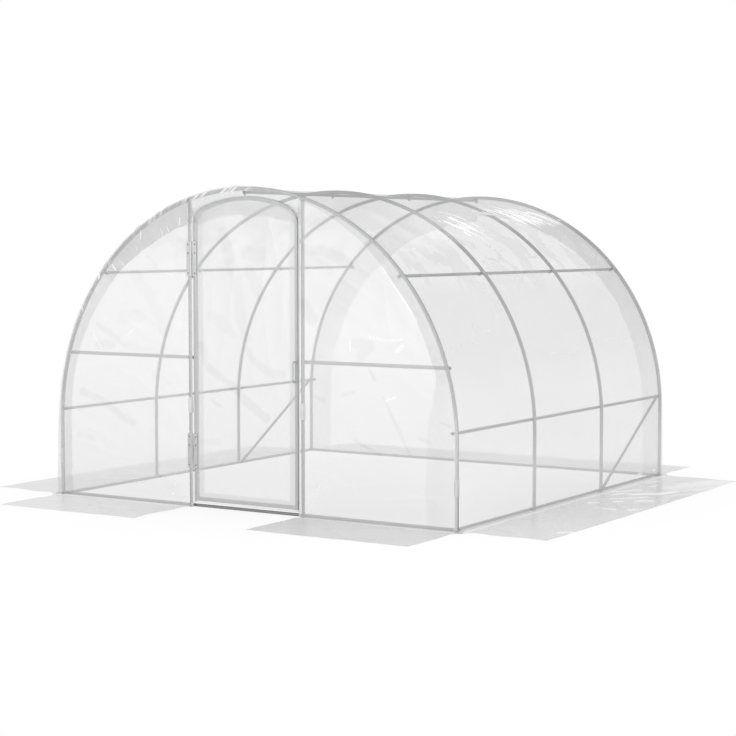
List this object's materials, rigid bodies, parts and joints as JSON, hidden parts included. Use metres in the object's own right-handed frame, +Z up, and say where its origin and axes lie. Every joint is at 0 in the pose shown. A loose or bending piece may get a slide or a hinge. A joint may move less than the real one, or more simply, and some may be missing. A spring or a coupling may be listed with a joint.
{
  "type": "polytunnel greenhouse",
  "caption": "Walk-in polytunnel greenhouse, 3 m wide, 3 m long and 2 m high: four galvanised hoops, purlins and base rails, a clear film cover with ground skirts, and a hinged film door in the front end.",
  "frame": {"origin": "on the ground, at the middle of the plan", "axes": "+X across the tunnel to the right as seen from the door, +Y from the door end to the back, +Z up"},
  "size_m": [4.1432, 4.1078, 2.0011],
  "materials": {
    "galvanised_tube": "dull zinc",
    "zinc_hardware": "bright zinc",
    "clear_film": "clear polyethylene"
  },
  "bodies": {
    "tunnel": {"hoop_front": "galvanised_tube", "hoop_second": "galvanised_tube", "hoop_third": "galvanised_tube", "hoop_rear": "galvanised_tube", "ridge_purlin": "galvanised_tube", "upper_purlin_left": "galvanised_tube", "upper_purlin_right": "galvanised_tube", "lower_purlin_left": "galvanised_tube", "lower_purlin_right": "galvanised_tube", "base_rail_left": "galvanised_tube", "base_rail_right": "galvanised_tube", "base_rail_front": "galvanised_tube", "base_rail_rear": "galvanised_tube", "brace_left": "galvanised_tube", "brace_right": "galvanised_tube", "door_post_left": "galvanised_tube", "door_post_right": "galvanised_tube", "mid_rail_left": "galvanised_tube", "mid_rail_right": "galvanised_tube", "hinge_post_leaf_lower": "zinc_hardware", "hinge_post_leaf_upper": "zinc_hardware", "cover_film": "clear_film", "cover_fold_front_left": "clear_film", "cover_fold_front_right": "clear_film", "cover_fold_front_head": "clear_film", "cover_fold_rear": "clear_film", "front_film_left": "clear_film", "front_film_right": "clear_film", "front_film_head": "clear_film", "rear_film": "clear_film", "skirt_left": "clear_film", "skirt_right": "clear_film", "skirt_rear": "clear_film", "skirt_front_left": "clear_film", "skirt_front_right": "clear_film"},
    "door": {"door_frame": "galvanised_tube", "door_film": "clear_film", "door_handle": "zinc_hardware", "hinge_door_leaf_lower": "zinc_hardware", "hinge_door_leaf_upper": "zinc_hardware"}
  },
  "joints": [
    {"name": "door_hinge", "type": "hinge", "parent": "tunnel", "child": "door", "pos_m": [-0.40275, -1.4886, 0.358], "axis": [0, 0, -1], "range_deg": [0, 170]}
  ]
}
